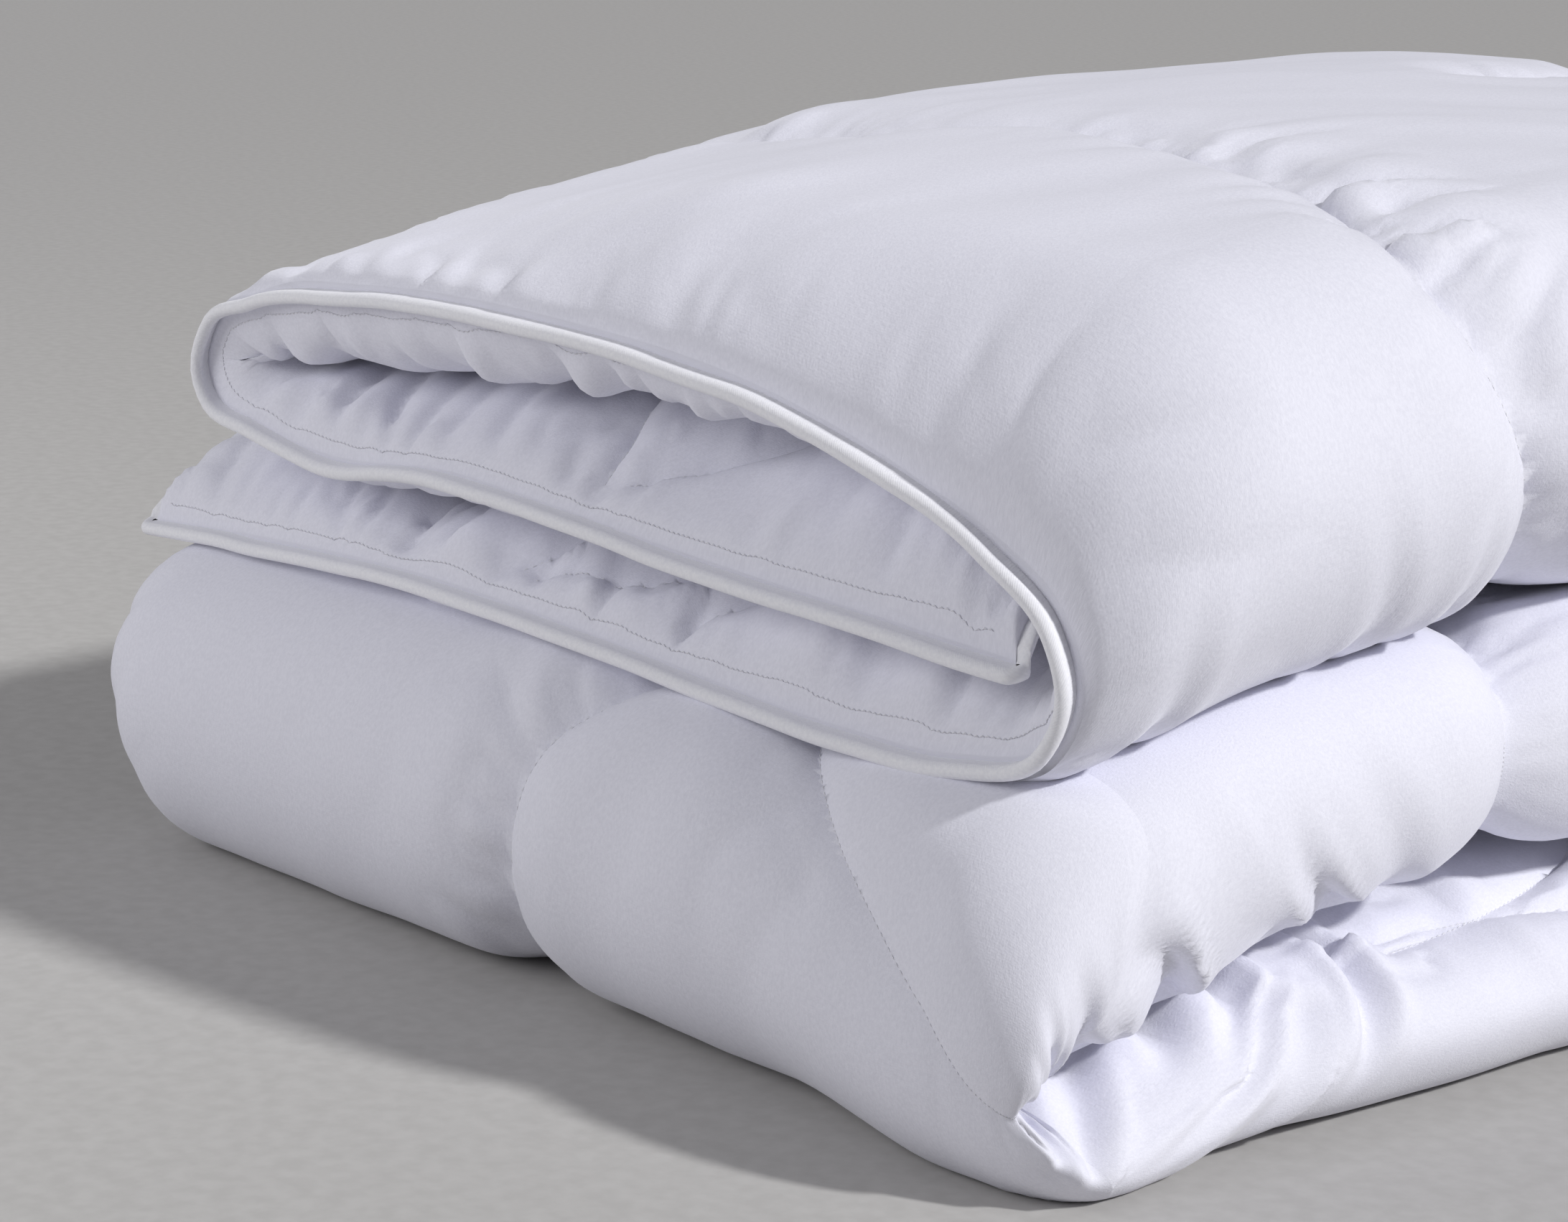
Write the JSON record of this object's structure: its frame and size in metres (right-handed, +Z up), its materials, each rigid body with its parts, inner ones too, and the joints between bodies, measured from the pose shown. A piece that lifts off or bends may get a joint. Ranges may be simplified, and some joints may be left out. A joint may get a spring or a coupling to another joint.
{
  "type": "folded duvet",
  "caption": "Plump white quilted duvet with corded piping, folded in three across and in three along into a soft stack that opens at its two long folds.",
  "frame": {"origin": "on the resting face under the stack, below the middle of the folded bundle's width", "axes": "+X across the folded strip towards its closed bend, +Y along the stack from the open piped end to the back fold, +Z up"},
  "size_m": [0.7856, 0.8558, 0.4072],
  "materials": {
    "cover_fabric": "matt brushed microfibre with a fine tight weave and a soft sheen",
    "piping_fabric": "twill strip rolled round a filler cord, matt",
    "wadding": "loose polyester fibre",
    "thread": "twisted polyester thread, slightly shiny"
  },
  "bodies": {
    "lower_third": {"back_end_piping": "piping_fabric", "back_end_topstitch": "thread", "bobbin_thread_lower": "thread", "inner_panel_front_fold": "cover_fabric", "inner_panel_lower": "cover_fabric", "inner_side_piping_front_fold": "piping_fabric", "inner_side_piping_lower": "piping_fabric", "inner_side_topstitch_front_fold": "thread", "inner_side_topstitch_lower": "thread", "needle_thread_lower": "thread", "outer_panel_front_fold": "cover_fabric", "outer_panel_lower": "cover_fabric", "outer_side_piping_front_fold": "piping_fabric", "outer_side_piping_lower": "piping_fabric", "outer_side_topstitch_front_fold": "thread", "outer_side_topstitch_lower": "thread", "wadding_front_fold": "wadding", "wadding_lower": "wadding"},
    "middle_third": {"bobbin_thread_middle_third": "thread", "inner_panel_back_fold": "cover_fabric", "inner_panel_middle_third": "cover_fabric", "inner_side_piping_back_fold": "piping_fabric", "inner_side_piping_middle_third": "piping_fabric", "inner_side_topstitch_back_fold": "thread", "inner_side_topstitch_middle_third": "thread", "needle_thread_middle_third": "thread", "outer_panel_back_fold": "cover_fabric", "outer_panel_middle_third": "cover_fabric", "outer_side_piping_back_fold": "piping_fabric", "outer_side_piping_middle_third": "piping_fabric", "outer_side_topstitch_back_fold": "thread", "outer_side_topstitch_middle_third": "thread", "wadding_back_fold": "wadding", "wadding_middle_third": "wadding"},
    "upper_third": {"bobbin_thread_upper": "thread", "front_end_piping": "piping_fabric", "front_end_topstitch": "thread", "inner_panel_upper": "cover_fabric", "inner_side_piping_upper": "piping_fabric", "inner_side_topstitch_upper": "thread", "needle_thread_upper": "thread", "outer_panel_upper": "cover_fabric", "outer_side_piping_upper": "piping_fabric", "outer_side_topstitch_upper": "thread", "wadding_upper": "wadding"}
  },
  "joints": [
    {"name": "middle_third_unfold", "type": "hinge", "parent": "lower_third", "child": "middle_third", "pos_m": [0, -0.315, 0.08752], "axis": [1, 0, 0], "range_deg": [0, 100], "deforming": ["inner_panel_front_fold", "inner_side_piping_front_fold", "inner_side_topstitch_front_fold", "outer_panel_front_fold", "outer_side_piping_front_fold", "outer_side_topstitch_front_fold", "wadding_front_fold"]},
    {"name": "upper_third_unfold", "type": "hinge", "parent": "middle_third", "child": "upper_third", "pos_m": [0, 0.36, 0.20786], "axis": [-1, 0, 0], "range_deg": [0, 175], "deforming": ["inner_panel_back_fold", "inner_side_piping_back_fold", "inner_side_topstitch_back_fold", "outer_panel_back_fold", "outer_side_piping_back_fold", "outer_side_topstitch_back_fold", "wadding_back_fold"]}
  ]
}
